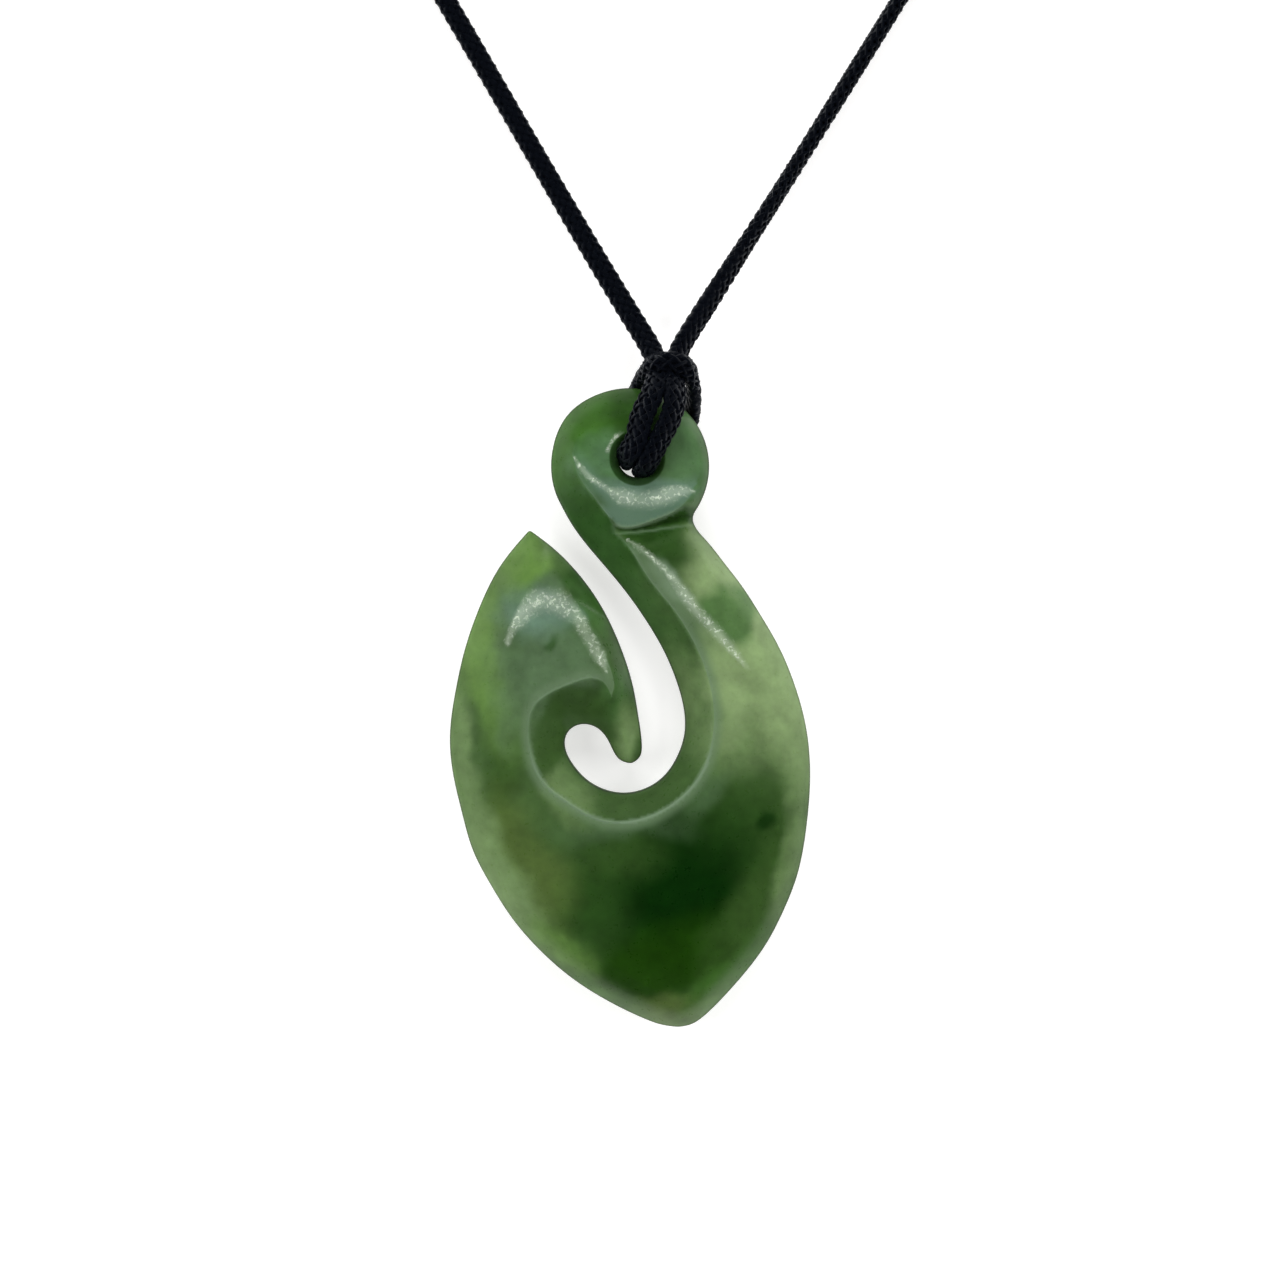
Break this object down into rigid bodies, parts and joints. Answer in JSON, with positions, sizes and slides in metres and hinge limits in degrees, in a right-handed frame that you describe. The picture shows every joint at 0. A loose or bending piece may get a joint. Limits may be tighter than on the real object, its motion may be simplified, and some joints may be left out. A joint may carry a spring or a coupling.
{
  "type": "greenstone fish hook pendant on a braided neck cord",
  "caption": "Carved greenstone fish hook pendant hitched on a closed loop of black braided cord, lying flat, with a crowned front, a bevelled bowl and a barbed point.",
  "frame": {"origin": "middle of the stone's flat back, measured without the cord, on the surface that the pendant lies on", "axes": "+X to the right of the hook as its carved front is seen, +Y from the hook's bottom tip towards its head and the cord, +Z out of the carved front"},
  "size_m": [0.1233, 0.2981, 0.0057],
  "materials": {
    "greenstone": "satin polish, translucent, clouded dark and light green",
    "black_cord": "black round braid with a slight sheen"
  },
  "bodies": {
    "root": {"greenstone_hook": "greenstone", "cord_hitch": "black_cord", "neck_cord_left": "black_cord", "neck_cord_right": "black_cord", "closing_knot": "black_cord"}
  },
  "joints": []
}
